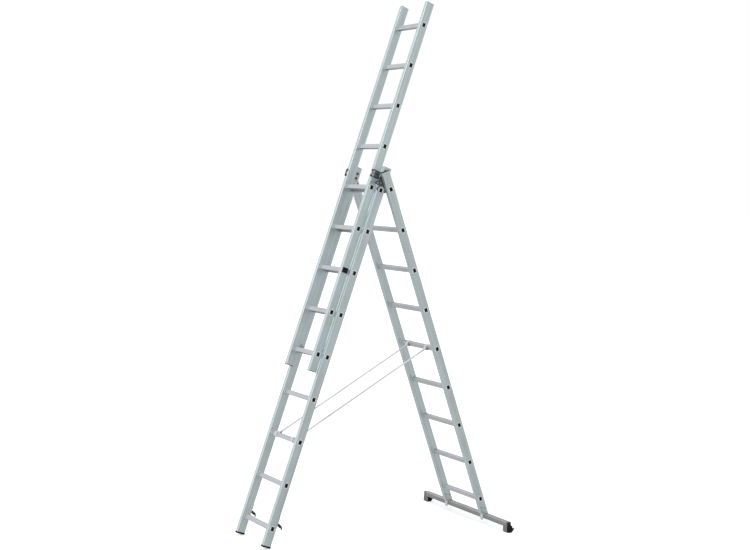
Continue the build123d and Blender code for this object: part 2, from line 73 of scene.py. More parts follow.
class Section:
    """One ladder section: its body, its lean and the directions that its stiles follow."""

    def __init__(self, name, body, lean):
        self.name = name
        self.body = body
        self.lean = lean
        self.up = Vector((math.sin(lean), 0, math.cos(lean)))
        self.back = Vector((math.cos(lean), 0, -math.sin(lean)))
        self.first = middle_of(f"{name}_rung_1")
        self.last_up = (middle_of(f"{name}_rung_9") - self.first).dot(self.up)

    def at(self, back, side, up):
        return self.first + self.back * back + ACROSS * side + self.up * up

    def matrix(self, back=0, side=0, up=0):
        """Turns a piece drawn with x back, y across and z up into the row frame."""
        turn = Matrix((self.back, ACROSS, self.up)).transposed().to_4x4()
        return Matrix.Translation(self.at(back, side, up)) @ turn

    def extent(self, node):
        """A node's lowest and highest back, side and up, from the section's first rung."""
        places = [vertex.co - self.first for vertex in frame["nodes"][node].data.vertices]
        spans = [(place.dot(self.back), place.y, place.dot(self.up)) for place in places]
        return [Vector(pick(axis) for axis in zip(*spans)) for pick in (min, max)]

    def rung_ups(self, count=9):
        return [self.last_up * number / (count - 1) for number in range(count)]


slide_axis = Vector(JOINTS["top_slide"]["axis"])
LEAN_MIDDLE = math.atan2(slide_axis.x, slide_axis.z)
LEAN_REAR = LEAN_MIDDLE - SPREAD
MIDDLE = Section("middle", "middle_section", LEAN_MIDDLE)
TOP = Section("top", "top_section", LEAN_MIDDLE)
REAR = Section("rear", "rear_section", LEAN_REAR)


# ---------------------------------------------------------------- camera, light and floor

CAMERA_PLACE = Vector((-4.6056, -7.381, 2.2583))
CAMERA_AZIMUTH = math.radians(32.0)
CAMERA_TILT = math.radians(-3.72)
CAMERA_ROLL = math.radians(2.13)
CAMERA_LENS = 63.5
SENSOR_WIDTH = 36
VIEW_END = 400
FLOOR_HALF = 150
FLOOR_GLOW = 0.3
SUN_TRAVEL = Vector((0.80, 0.22, -0.55))
SUN_STRENGTH = 1.0
SUN_WIDTH = 25
STUDIO_BELOW = 0.72
STUDIO_RIGHT = 0.70
STUDIO_FLOOR_FADE = (-0.2, -0.05)
STUDIO_SIDE_FADE = (-0.9, 0.3)


def make_camera():
    camera = bpy.data.objects.new("camera", bpy.data.cameras.new("camera"))
    bpy.context.scene.collection.objects.link(camera)
    level = math.cos(CAMERA_TILT)
    forward = Vector((
        math.sin(CAMERA_AZIMUTH) * level,
        math.cos(CAMERA_AZIMUTH) * level,
        math.sin(CAMERA_TILT),
    ))
    camera.location = CAMERA_PLACE
    turn = forward.to_track_quat("-Z", "Y").to_matrix()
    camera.rotation_euler = (turn @ Matrix.Rotation(CAMERA_ROLL, 3, "Z")).to_euler()
    camera.data.lens = CAMERA_LENS
    camera.data.sensor_width = SENSOR_WIDTH
    camera.data.clip_end = VIEW_END
    bpy.context.scene.camera = camera


def make_sun():
    """A wide, soft key light from the front of the ladder, well above it."""
    sun = bpy.data.objects.new("key_sun", bpy.data.lights.new("key_sun", "SUN"))
    bpy.context.scene.collection.objects.link(sun)
    sun.rotation_euler = SUN_TRAVEL.to_track_quat("-Z", "Y").to_euler()
    sun.data.energy = SUN_STRENGTH
    sun.data.angle = math.radians(SUN_WIDTH)


def map_range(tree, value, start, end, low, high):
    """A value's span from start to end, turned into the span from low to high."""
    node = tree.nodes.new("ShaderNodeMapRange")
    for name, number in zip(("From Min", "From Max", "To Min", "To Max"), (start, end, low, high)):
        node.inputs[name].default_value = number
    tree.links.new(value, node.inputs["Value"])
    return node.outputs["Result"]


def make_world():
    """A white studio, dimmer to the ladder's right and dark below the floor, for the metal's gloss."""
    world = bpy.data.worlds.new("studio")
    bpy.context.scene.world = world
    world.use_nodes = True
    tree = world.node_tree
    coordinates = tree.nodes.new("ShaderNodeTexCoord")
    split = tree.nodes.new("ShaderNodeSeparateXYZ")
    tree.links.new(coordinates.outputs["Generated"], split.inputs["Vector"])
    height = map_range(tree, split.outputs["Z"], *STUDIO_FLOOR_FADE, STUDIO_BELOW, 1)
    side = map_range(tree, split.outputs["Y"], *STUDIO_SIDE_FADE, STUDIO_RIGHT, 1)
    dimmed = tree.nodes.new("ShaderNodeMath")
    dimmed.operation = "MULTIPLY"
    tree.links.new(height, dimmed.inputs[0])
    tree.links.new(side, dimmed.inputs[1])
    seen = tree.nodes.new("ShaderNodeLightPath")
    strength = tree.nodes.new("ShaderNodeMath")
    strength.operation = "MAXIMUM"
    tree.links.new(dimmed.outputs["Value"], strength.inputs[0])
    tree.links.new(seen.outputs["Is Camera Ray"], strength.inputs[1])
    tree.links.new(strength.outputs["Value"], tree.nodes["Background"].inputs["Strength"])
    tree.nodes["Background"].inputs["Color"].default_value = (1, 1, 1, 1)


def make_floor():
    mesh = bpy.data.meshes.new("floor")
    corners = [(-1, -1), (1, -1), (1, 1), (-1, 1)]
    mesh.from_pydata([(x * FLOOR_HALF, y * FLOOR_HALF, 0) for x, y in corners], [], [(0, 1, 2, 3)])
    floor = bpy.data.objects.new("floor", mesh)
    bpy.context.scene.collection.objects.link(floor)
    paint = Paint("floor_paint", (0.92, 0.925, 0.93, 1), roughness=0.9)
    mottling = paint.noise(scale=0.6, detail=3)
    paint.colour_from(mottling, (0.90, 0.905, 0.91, 1), (0.94, 0.945, 0.95, 1))
    paint.shader.inputs["Emission Color"].default_value = (1, 1, 1, 1)
    paint.shader.inputs["Emission Strength"].default_value = FLOOR_GLOW
    mesh.materials.append(paint.material)
    floor.visible_glossy = False
    floor.visible_diffuse = False


# ---------------------------------------------------------------- procedural materials

STILE_TINT = (0.62, 0.70, 0.695, 1)
CAST_TINT = (0.60, 0.66, 0.67, 1)
ZINC = (0.42, 0.45, 0.46, 1)
DARK_STEEL = (0.06, 0.065, 0.07, 1)
BLACK_PLASTIC = (0.006, 0.006, 0.0065, 1)
CLAW_BLACK = (0.02, 0.021, 0.022, 1)
# Painted highlight colour: the bright rings round the rung ends on the stiles, and the rungs' flared ends.
BEAD_HIGHLIGHT = (0.84, 0.87, 0.88, 1)
EXTRUSION_METALLIC = 0.88
RING_METALLIC = 0.35
BEAD_METALLIC = 0.25
FACING_FADE = (0.8, 0.95)
RING_RADIUS = 0.0215
RING_FADE = 0.003
GROOVE_HALF = 0.0017
GROOVE_SHARE = 1 / 6
CLAMP_TOP = 0.4
CLAMP_FADE = 0.1
CLAW_DEPTH = 0.0035
CLAW_FADE = 0.0006
CAP_END = 0.0025
CAP_END_FADE = 0.0005


class Paint:
    """A procedural material, with short calls for the nodes that the finishes share."""

    def __init__(self, name, colour, metallic=0.0, roughness=0.5, lean=0.0):
        self.material = bpy.data.materials.new(name)
        self.material.use_nodes = True
        self.tree = self.material.node_tree
        self.shader = self.tree.nodes["Principled BSDF"]
        self.shader.inputs["Base Color"].default_value = colour
        self.shader.inputs["Metallic"].default_value = metallic
        self.shader.inputs["Roughness"].default_value = roughness
        coordinates = self.tree.nodes.new("ShaderNodeTexCoord")
        turned = self.tree.nodes.new("ShaderNodeMapping")
        turned.inputs["Rotation"].default_value = (0, -lean, 0)
        self.link(coordinates.outputs["Object"], turned.inputs["Vector"])
        self.place = turned.outputs["Vector"]

    def link(self, source, target):
        self.tree.links.new(source, target)

    def stretched(self, scale):
        """The object's own coordinates, stretched by a scale along each axis."""
        mapping = self.tree.nodes.new("ShaderNodeMapping")
        mapping.inputs["Scale"].default_value = scale
        self.link(self.place, mapping.inputs["Vector"])
        return mapping.outputs["Vector"]

    def noise(self, scale, detail=4, roughness=0.55, at=None):
        node = self.tree.nodes.new("ShaderNodeTexNoise")
        node.inputs["Scale"].default_value = scale
        node.inputs["Detail"].default_value = detail
        node.inputs["Roughness"].default_value = roughness
        self.link(self.place if at is None else at, node.inputs["Vector"])
        return node.outputs["Fac"]

    def waves(self, scale, direction):
        node = self.tree.nodes.new("ShaderNodeTexWave")
        node.bands_direction = direction
        node.inputs["Scale"].default_value = scale
        self.link(self.place, node.inputs["Vector"])
        return node.outputs["Fac"]

    def ranged(self, value, low, high, start=0.0, end=1.0):
        return map_range(self.tree, value, start, end, low, high)

    def combine(self, operation, first, second):
        node = self.tree.nodes.new("ShaderNodeMath")
        node.operation = operation
        for socket, value in zip(node.inputs, (first, second)):
            if isinstance(value, (int, float)):
                socket.default_value = value
            else:
                self.link(value, socket)
        return node.outputs["Value"]

    def weighted(self, *pairs):
        """The sum of several values, each times its weight."""
        total = self.combine("MULTIPLY", *pairs[0])
        for value, weight in pairs[1:]:
            total = self.combine("ADD", total, self.combine("MULTIPLY", value, weight))
        return total

    def axis(self, name):
        """One of the turned coordinates of a point: "X", "Y" or "Z"."""
        split = self.tree.nodes.new("ShaderNodeSeparateXYZ")
        self.link(self.place, split.inputs["Vector"])
        return split.outputs[name]

    def facing(self, name):
        """How far a surface faces along an axis, from 0 to 1."""
        geometry = self.tree.nodes.new("ShaderNodeNewGeometry")
        split = self.tree.nodes.new("ShaderNodeSeparateXYZ")
        self.link(geometry.outputs["Normal"], split.inputs["Vector"])
        return self.combine("ABSOLUTE", split.outputs[name], 0)

    def stripe(self, value, centre, half):
        """1 within a stripe round a value's centre, 0 outside it."""
        apart = self.combine("ABSOLUTE", self.combine("SUBTRACT", value, centre), 0)
        return self.ranged(apart, 1, 0, half * 0.8, half)

    def mixed(self, factor, first, second):
        """A mix of two colours, each a plain colour or another mix."""
        node = self.tree.nodes.new("ShaderNodeMix")
        node.data_type = "RGBA"
        colours = [socket for socket in node.inputs if socket.type == "RGBA"]
        for socket, colour in zip(colours, (first, second)):
            if isinstance(colour, tuple):
                socket.default_value = colour
            else:
                self.link(colour, socket)
        self.link(factor, node.inputs[0])
        return [socket for socket in node.outputs if socket.type == "RGBA"][0]

    def colour_from(self, factor, dark, light):
        self.link(self.mixed(factor, dark, light), self.shader.inputs["Base Color"])

    def roughness_from(self, factor, low, high):
        self.link(self.ranged(factor, low, high), self.shader.inputs["Roughness"])

    def bump_from(self, height, distance, strength=1.0):
        node = self.tree.nodes.new("ShaderNodeBump")
        node.inputs["Distance"].default_value = distance
        node.inputs["Strength"].default_value = strength
        self.link(height, node.inputs["Height"])
        self.link(node.outputs["Normal"], self.shader.inputs["Normal"])


def shaded(colour, share):
    """A colour made lighter or darker by a share of itself."""
    return tuple(min(1.0, value * share) for value in colour[:3]) + (1,)


def extruded_aluminium(name, lean, tint, along="Z", streaks=0.12):
    """Mill-finish extrusion: long drawn lines, cloudy oxide and handling smudges."""
    paint = Paint(name, tint, metallic=EXTRUSION_METALLIC, lean=lean)
    fine, coarse = 420.0, 3.0
    stretch = (fine, coarse, fine) if along == "Y" else (fine, fine, coarse)
    wide = (70.0, 0.9, 70.0) if along == "Y" else (70.0, 70.0, 0.9)
    lines = paint.noise(1.0, detail=3, roughness=0.7, at=paint.stretched(stretch))
    bands = paint.noise(1.0, detail=2, roughness=0.5, at=paint.stretched(wide))
    clouds = paint.noise(9.0, detail=5)
    smudges = paint.noise(2.2, detail=6, roughness=0.62)
    shade = paint.weighted((lines, 0.25), (bands, 0.35), (clouds, 0.2), (smudges, 0.2))
    cool = (tint[0] * 0.98, tint[1] * 0.99, min(1.0, tint[2] * 1.04), 1)
    low, high = (
        paint.mixed(paint.ranged(clouds, 0, 1, 0.4, 0.6), shaded(tint, share), shaded(cool, share))
        for share in (1 - streaks, 1 + streaks)
    )
    surface = paint.mixed(paint.ranged(shade, 0, 1, 0.38, 0.62), low, high)
    paint.roughness_from(paint.ranged(smudges, 0, 1, 0.35, 0.65), 0.33, 0.5)
    paint.bump_from(lines, 0.00012, 0.5)
    return paint, surface


def stile_aluminium(section, tint):
    """Stile extrusion, with a painted highlight: a bright ring round each rung where the rung was flared.
    """
    paint, surface = extruded_aluminium(f"{section.name}_stile_extrusion", section.lean, tint)
    ups = section.rung_ups()
    pitch = ups[1] - ups[0]
    back = paint.combine("SUBTRACT", paint.axis("X"), section.first.dot(section.back))
    from_rung = paint.combine("SUBTRACT", paint.axis("Z"), section.first.dot(section.up) - pitch / 2)
    up = paint.combine("SUBTRACT", paint.combine("FLOORED_MODULO", from_rung, pitch), pitch / 2)
    squares = [paint.combine("MULTIPLY", offset, offset) for offset in (back, up)]
    apart = paint.combine("POWER", paint.combine("ADD", *squares), 0.5)
    # Painted highlight: the stile's side faces turn bright and less metallic in a ring round each rung
    # end.
    ring = paint.ranged(apart, 1, 0, RING_RADIUS - RING_FADE, RING_RADIUS)
    ring = paint.combine("MULTIPLY", ring, paint.ranged(paint.facing("Y"), 0, 1, *FACING_FADE))
    paint.link(paint.mixed(ring, surface, BEAD_HIGHLIGHT), paint.shader.inputs["Base Color"])
    paint.link(paint.ranged(ring, EXTRUSION_METALLIC, RING_METALLIC), paint.shader.inputs["Metallic"])
    return paint.material


def rung_aluminium(name, tint):
    """Rung extrusion, its flared ends painted bright as a highlight where they face along the rung."""
    paint, surface = extruded_aluminium(name, 0.0, tint, along="Y")
    # Painted highlight on the faces that point along the rung, with less metallic gloss there.
    bead_highlight = paint.ranged(paint.facing("Y"), 0, 1, *FACING_FADE)
    paint.link(paint.ranged(bead_highlight, EXTRUSION_METALLIC, BEAD_METALLIC), paint.shader.inputs["Metallic"])
    paint.link(paint.mixed(bead_highlight, surface, BEAD_HIGHLIGHT), paint.shader.inputs["Base Color"])
    return paint.material


def bar_aluminium(name, tint):
    """The stabiliser bar, with painted shade in its grooves and darker along its lower edge."""
    paint, surface = extruded_aluminium(name, 0.0, tint, along="Y", streaks=0.2)
    low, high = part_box("stabiliser_bar")
    middle = (low + high) / 2
    size = high - low
    # Painted shade: dark lines along the grooves on the bar's top and front faces.
    grooves = 0.0
    for index, axis, square in ((0, "X", "Z"), (2, "Z", "X")):
        for share in (GROOVE_SHARE, -GROOVE_SHARE):
            mask = paint.stripe(paint.axis(axis), middle[index] + size[index] * share, GROOVE_HALF)
            faced = paint.ranged(paint.facing(square), 0, 1, 0.5, 0.9)
            grooves = paint.combine("MAXIMUM", grooves, paint.combine("MULTIPLY", mask, faced))
    # Darker along the lower edge, mixed in at 0.6 with the painted groove shade.
    edge = paint.ranged(paint.axis("Z"), 1, 0, low.z + 0.002, low.z + 0.006)
    groove_shade_and_low_edge = paint.combine("MAXIMUM", paint.combine("MULTIPLY", edge, 0.6), grooves)
    dark = shaded(tint, 0.2)
    paint.link(paint.mixed(groove_shade_and_low_edge, surface, dark), paint.shader.inputs["Base Color"])
    return paint.material


def end_cap_plastic(name, side_colour, end_colour):
    """Bar end cap: a ribbed grey sleeve and a black outer end."""
    paint = Paint(name, side_colour)
    paint.shader.inputs["Specular IOR Level"].default_value = 0.3
    end_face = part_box("bar_end_caps")[1].y
    apart = paint.combine("ABSOLUTE", paint.axis("Y"), 0)
    end = paint.ranged(apart, 0, 1, end_face - CAP_END - CAP_END_FADE, end_face - CAP_END)
    ribs = paint.waves(40.0, "Y")
    dust = paint.noise(60.0, detail=5, roughness=0.65)
    shade = paint.weighted((ribs, 0.6), (dust, 0.4))
    sleeve = paint.mixed(shade, shaded(side_colour, 0.6), shaded(side_colour, 1.4))
    outer = paint.mixed(dust, end_colour, shaded(end_colour, 1.8))
    paint.link(paint.mixed(end, sleeve, outer), paint.shader.inputs["Base Color"])
    paint.roughness_from(dust, 0.45, 0.65)
    paint.bump_from(ribs, 0.0004, 0.6)
    return paint.material


def cast_aluminium(name, tint):
    """Cast fittings, with a fine sandy grain and cloudy patches."""
    paint = Paint(name, tint, metallic=0.85)
    grain = paint.noise(900.0, detail=3)
    clouds = paint.noise(30.0, detail=4)
    paint.colour_from(clouds, shaded(tint, 0.85), shaded(tint, 1.15))
    paint.roughness_from(clouds, 0.42, 0.6)
    paint.bump_from(grain, 0.0002, 0.5)
    return paint.material


def plated_steel(name, tint, roughness=0.4):
    """Plated sheet steel: spangled patches and a little dirt."""
    paint = Paint(name, tint, metallic=0.9)
    spangle = paint.tree.nodes.new("ShaderNodeTexVoronoi")
    spangle.inputs["Scale"].default_value = 260.0
    paint.link(paint.place, spangle.inputs["Vector"])
    patches = paint.noise(70.0, detail=5)
    shade = paint.weighted((spangle.outputs["Distance"], 0.4), (patches, 0.6))
    paint.colour_from(paint.ranged(shade, 0, 1, 0.25, 0.65), shaded(tint, 0.6), shaded(tint, 1.35))
    paint.roughness_from(patches, roughness - 0.08, roughness + 0.12)
    paint.bump_from(patches, 0.0002, 0.4)
    return paint.material


def bolt_steel(name, dark, light):
    """Hinge pins in dark steel, and zinc plated clamp bolts low on the rear section."""
    paint = Paint(name, dark, metallic=0.9)
    patches = paint.noise(300.0, detail=4)
    low_down = paint.ranged(paint.axis("Z"), 1, 0, CLAMP_TOP, CLAMP_TOP + CLAMP_FADE)
    darker = paint.mixed(patches, shaded(dark, 0.6), shaded(dark, 1.4))
    lighter = paint.mixed(patches, shaded(light, 0.75), shaded(light, 1.2))
    paint.link(paint.mixed(low_down, darker, lighter), paint.shader.inputs["Base Color"])
    paint.roughness_from(patches, 0.36, 0.5)
    paint.bump_from(patches, 0.00015, 0.4)
    return paint.material


def guide_steel(name, tint):
    """Plated steel whose front claws are coloured black."""
    paint = Paint(name, tint, metallic=0.9, lean=LEAN_MIDDLE)
    claw_edge = MIDDLE.first.dot(MIDDLE.back) + MIDDLE.extent("guide_right")[0].x + CLAW_DEPTH
    patches = paint.noise(70.0, detail=5)
    plate = paint.ranged(paint.axis("X"), 0, 1, claw_edge - CLAW_FADE, claw_edge + CLAW_FADE)
    shade = paint.combine("MULTIPLY", plate, paint.ranged(patches, 0.6, 1, 0.25, 0.65))
    paint.colour_from(shade, CLAW_BLACK, shaded(tint, 1.25))
    paint.roughness_from(patches, 0.36, 0.52)
    paint.bump_from(patches, 0.0002, 0.4)
    return paint.material


def moulded(name, colour, grain_scale=1400.0, roughness=0.5, specular=0.4, dust_share=1.6):
    """Moulded plastic or rubber with a fine grain and dusty, slightly lighter patches."""
    paint = Paint(name, colour)
    paint.shader.inputs["Specular IOR Level"].default_value = specular
    grain = paint.noise(grain_scale, detail=2)
    dust = paint.noise(45.0, detail=5, roughness=0.65)
    dusty = shaded(colour, dust_share)
    paint.colour_from(paint.ranged(dust, 0, 1, 0.4, 0.75), colour, dusty)
    paint.roughness_from(dust, roughness - 0.06, roughness + 0.14)
    paint.bump_from(grain, 0.00015, 0.5)
    return paint.material


def woven_webbing(name, tint, turn):
    """Flat woven strap: cross ribs, warp lines along it and a soft, slightly dusty surface."""
    paint = Paint(name, tint, roughness=0.8, lean=turn)
    paint.shader.inputs["Sheen Weight"].default_value = 0.3
    ribs = paint.waves(95.0, "X")
    warp = paint.waves(150.0, "Y")
    dust = paint.noise(20.0, detail=5)
    weave = paint.combine("MULTIPLY", ribs, warp)
    shade = paint.weighted((weave, 0.6), (dust, 0.4))
    paint.colour_from(shade, shaded(tint, 0.72), shaded(tint, 1.2))
    paint.roughness_from(dust, 0.75, 0.92)
    paint.bump_from(weave, 0.0004, 0.7)
    return paint.material


def make_paints():
    return {
        "middle_stile": stile_aluminium(MIDDLE, STILE_TINT),
        "rear_stile": stile_aluminium(REAR, STILE_TINT),
        "top_stile": stile_aluminium(TOP, STILE_TINT),
        "rung": rung_aluminium("rung_extrusion", (0.55, 0.57, 0.58, 1)),
        "bar": bar_aluminium("bar_extrusion", (0.40, 0.40, 0.39, 1)),
        "cap": end_cap_plastic("end_cap_plastic", (0.16, 0.165, 0.165, 1), BLACK_PLASTIC),
        "cast": cast_aluminium("cast_aluminium", CAST_TINT),
        "zinc": plated_steel("zinc_steel", ZINC),
        "guide": guide_steel("guide_steel", (0.50, 0.54, 0.55, 1)),
        "hinge": plated_steel("hinge_steel", (0.13, 0.135, 0.14, 1), roughness=0.45),
        "bolts": bolt_steel("bolt_steel", DARK_STEEL, ZINC),
        "dark": plated_steel("dark_steel", DARK_STEEL, roughness=0.45),
        "black": moulded("black_plastic", BLACK_PLASTIC, specular=0.2),
        "shoe": moulded("shoe_plastic", (0.03, 0.033, 0.035, 1), specular=0.3),
        "grey": moulded("grey_plastic", (0.05, 0.052, 0.055, 1), specular=0.3),
        "pale": moulded("pale_plastic", (0.36, 0.38, 0.39, 1), dust_share=1.15),
        "rubber": moulded("black_rubber", (0.009, 0.009, 0.01, 1), 900.0, 0.75, 0.2),
    }


# Which finish each carried-over CAD node has: the first prefix that fits is the one used.
NODE_FINISHES = (
    ("middle_stile", "middle_stile"), ("rear_stile", "rear_stile"), ("top_stile", "top_stile"),
    ("stabiliser_bar", "bar"), ("bar_clamps", "cast"), ("pivot_collars", "cast"),
    ("guide_bolts", "dark"), ("guide_shoes", "shoe"), ("guide_", "guide"),
    ("hinge_plate", "hinge"), ("rear_bolts", "bolts"), ("middle_hook", "dark"), ("top_hook", "zinc"),
    ("middle_rung_plugs", "black"), ("rear_rung_plugs", "black"), ("top_rung_plugs", "black"),
    ("middle_rung", "rung"), ("rear_rung", "rung"), ("top_rung", "rung"),
    ("middle_soles", "rubber"), ("bar_feet", "rubber"), ("bar_end_caps", "cap"), ("cover_plate", "black"),
    ("strap", "black"), ("middle_top_caps", "pale"), ("rear_top_caps", "grey"),
    ("top_top_caps", "pale"), ("top_bottom_caps", "grey"),
)


def paint_nodes(paints):
    for name, node in frame["nodes"].items():
        finish = next(finish for prefix, finish in NODE_FINISHES if name.startswith(prefix))
        node.data.materials.clear()
        node.data.materials.append(paints[finish])


# ---------------------------------------------------------------- mesh helpers


def rounded_outline(width, height, corner, steps=4):
    """Corner points of a rounded rectangle round (0, 0), as (across, up) pairs, anticlockwise."""
    points = []
    for turn, (across, up) in enumerate(((1, 1), (-1, 1), (-1, -1), (1, -1))):
        middle = Vector((across * (width / 2 - corner), up * (height / 2 - corner)))
        for step in range(steps + 1):
            angle = math.radians(90 * (turn + step / steps))
            points.append(middle + Vector((math.cos(angle), math.sin(angle))) * corner)
    return points


def add_loft(mesh, rings):
    """Skins a list of rings, each a list of points, into one closed surface in a bmesh."""
    rows = [[mesh.verts.new(point) for point in ring] for ring in rings]
    count = len(rows[0])
    for row, following in zip(rows, rows[1:]):
        for index in range(count):
            after = (index + 1) % count
            mesh.faces.new((row[index], row[after], following[after], following[index]))
    mesh.faces.new(reversed(rows[0]))
    mesh.faces.new(rows[-1])


def add_box(mesh, low, high):
    corners = [(low[0], low[1]), (high[0], low[1]), (high[0], high[1]), (low[0], high[1])]
    add_loft(mesh, [[(x, y, level) for x, y in corners] for level in (low[2], high[2])])


def finish_piece(name, mesh, material, matrix=None, bevel=0.0, smooth=True):
    """Turns a bmesh into a linked object with its finish, its normals outwards and soft edges."""
    bmesh.ops.recalc_face_normals(mesh, faces=mesh.faces)
    data = bpy.data.meshes.new(name)
    mesh.to_mesh(data)
    mesh.free()
    if matrix is not None:
        data.transform(matrix)
    data.materials.append(material)
    piece = bpy.data.objects.new(name, data)
    bpy.context.scene.collection.objects.link(piece)
    if bevel:
        soften = piece.modifiers.new("soft_edges", "BEVEL")
        soften.width = bevel
        soften.segments = 2
        soften.limit_method = "ANGLE"
        soften.angle_limit = math.radians(35)
    if smooth:
        data.shade_smooth()
        data.set_sharp_from_angle(angle=math.radians(40))
    return piece


# ---------------------------------------------------------------- webbing straps

STRAP_THICK = 0.0016
STRAP_SLACK = 0.0004
STRAP_ENDS = ((MIDDLE, "middle_rung_3"), (REAR, "rear_rung_5"))
RUNG_DEPTH, RUNG_HEIGHT, RUNG_CORNER = 0.025, 0.030, 0.004
LAP_START, LAP_LENGTH = 0.034, 0.055
LAP_SPREAD = 1.02
STRAP_STEPS = 60
STITCH_LENGTH, STITCH_PITCH, STITCH_THICK = 0.0022, 0.0036, 0.0005


def hull(points):
    """Convex outline of points in the plane, anticlockwise."""
    ordered = sorted((point.x, point.y) for point in points)
    chains = []
    for walk in (ordered, ordered[::-1]):
        chain = []
        for point in walk:
            while len(chain) > 1:
                (ax, ay), (bx, by) = chain[-2:]
                if (bx - ax) * (point[1] - ay) - (by - ay) * (point[0] - ax) > 0:
                    break
                chain.pop()
            chain.append(point)
        chains += chain[:-1]
    return [Vector(point) for point in chains]


def loop_round_rung(section, rung, towards):
    """The strap's path round a rung, in the X-Z plane, from the stitched lap round and back to it."""
    centre = middle_of(rung).xz
    offset = STRAP_SLACK + STRAP_THICK / 2
    turned = Matrix.Rotation(-section.lean, 2)
    outline = rounded_outline(RUNG_DEPTH + 2 * offset, RUNG_HEIGHT + 2 * offset, RUNG_CORNER + offset)
    lap = centre + towards * LAP_START
    around = hull([centre + turned @ point for point in outline] + [lap])
    start = min(range(len(around)), key=lambda index: (around[index] - lap).length)
    return around[start:] + around[:start] + [lap]


def add_ribbon(mesh, path, side, width, thick):
    """A flat strap of a rectangular section with eased edges along a path in the X-Z plane."""
    ease = thick / 4
    section = [
        (-width / 2, -thick / 2 + ease), (-width / 2 + ease, -thick / 2), (width / 2 - ease, -thick / 2),
        (width / 2, -thick / 2 + ease), (width / 2, thick / 2 - ease), (width / 2 - ease, thick / 2),
        (-width / 2 + ease, thick / 2), (-width / 2, thick / 2 - ease),
    ]
    rings = []
    for index, point in enumerate(path):
        before = path[max(index - 1, 0)]
        after = path[min(index + 1, len(path) - 1)]
        run = (after - before).normalized()
        square = Vector((-run.y, run.x))
        rings.append([
            Vector((point.x + square.x * up, side + across, point.y + square.y * up))
            for across, up in section
        ])
    add_loft(mesh, rings)


def add_stitches(mesh, start, towards, side, width, lift):
    """Two crossed diagonals and a border of thread on both faces of a lap."""
    square = Vector((-towards.y, towards.x))
    length, half = LAP_LENGTH - 2 * STITCH_PITCH, width / 2 - 1.5 * STITCH_PITCH / 2
    corners = [(0, -half), (length, -half), (length, half), (0, half)]
    seams = list(zip(corners, corners[1:] + corners[:1]))
    seams += [(corners[0], corners[2]), (corners[1], corners[3])]
    for (start_along, start_side), (end_along, end_side) in seams:
        run = Vector((end_along - start_along, end_side - start_side))
        for number in range(int(run.length / STITCH_PITCH)):
            low = run.normalized() * (number * STITCH_PITCH)
            high = low + run.normalized() * STITCH_LENGTH
            aside = Vector((-run.y, run.x)).normalized() * STITCH_THICK / 2
            corners_flat = [low - aside, high - aside, high + aside, low + aside]
            for face in (-1, 1):
                rings = []
                for height in (lift - STITCH_THICK, lift + STITCH_THICK / 2):
                    ring = []
                    for flat in corners_flat:
                        place = start + towards * (STITCH_PITCH + start_along + flat.x)
                        place += square * face * height
                        ring.append((place.x, side + start_side + flat.y, place.y))
                    rings.append(ring)
                add_loft(mesh, rings)


def make_strap(word, webbing, thread):
    """A strap sewn round a rung at each end, running straight between its two sections."""
    low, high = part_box(f"strap_{word}")
    side, width = (low.y + high.y) / 2, high.y - low.y
    ends = [middle_of(rung).xz for _, rung in STRAP_ENDS]
    run = (ends[1] - ends[0]).normalized()
    mesh, seams = bmesh.new(), bmesh.new()
    for (section, rung), centre, towards in zip(STRAP_ENDS, ends, (run, -run)):
        loop = loop_round_rung(section, rung, towards)
        square = Vector((-towards.y, towards.x)) * STRAP_THICK / 2
        lap_end = centre + towards * (LAP_START + LAP_LENGTH)
        loop[0] = loop[0] + square * LAP_SPREAD
        loop[-1] = loop[-1] - square * LAP_SPREAD
        flips = 1 if (loop[1] - loop[-2]).dot(square) > 0 else -1
        first = [lap_end + square * LAP_SPREAD * flips] + loop
        add_ribbon(mesh, first, side, width, STRAP_THICK)
        add_stitches(seams, centre + towards * LAP_START, towards, side, width, STRAP_THICK)
    start = ends[0] + run * LAP_START
    end = ends[1] - run * LAP_START
    path = [start.lerp(end, step / STRAP_STEPS) for step in range(STRAP_STEPS + 1)]
    aside = Vector((-run.y, run.x)) * STRAP_THICK / 2
    path = [point - aside for point in path]
    add_ribbon(mesh, path, side, width, STRAP_THICK)
    strap = finish_piece(f"webbing_strap_{word}", mesh, webbing)
    stitches = finish_piece(f"strap_stitches_{word}", seams, thread, smooth=False)
    for piece in (strap, stitches):
        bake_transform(piece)
    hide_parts(f"strap_{word}")


def make_straps():
    lower, upper = (middle_of(rung) for _, rung in STRAP_ENDS)
    run = upper - lower
    rise = math.atan2(run.z, run.x)
    webbing = woven_webbing("strap_webbing", (0.70, 0.71, 0.72, 1), -rise)
    thread = moulded("strap_thread", (0.60, 0.61, 0.62, 1), 3000.0, 0.7, 0.3, 1.1)
    for word in ("right", "left"):
        make_strap(word, webbing, thread)


# ---------------------------------------------------------------- rung plugs

PLUG_LENGTH = 0.009
PLUG_LIP = 0.0008
PLUG_RIM = 0.0035
PLUG_DISH = 0.0016
RIM_CORNER, DISH_CORNER = 0.8, 0.7
RUNG_WALL = 0.0015


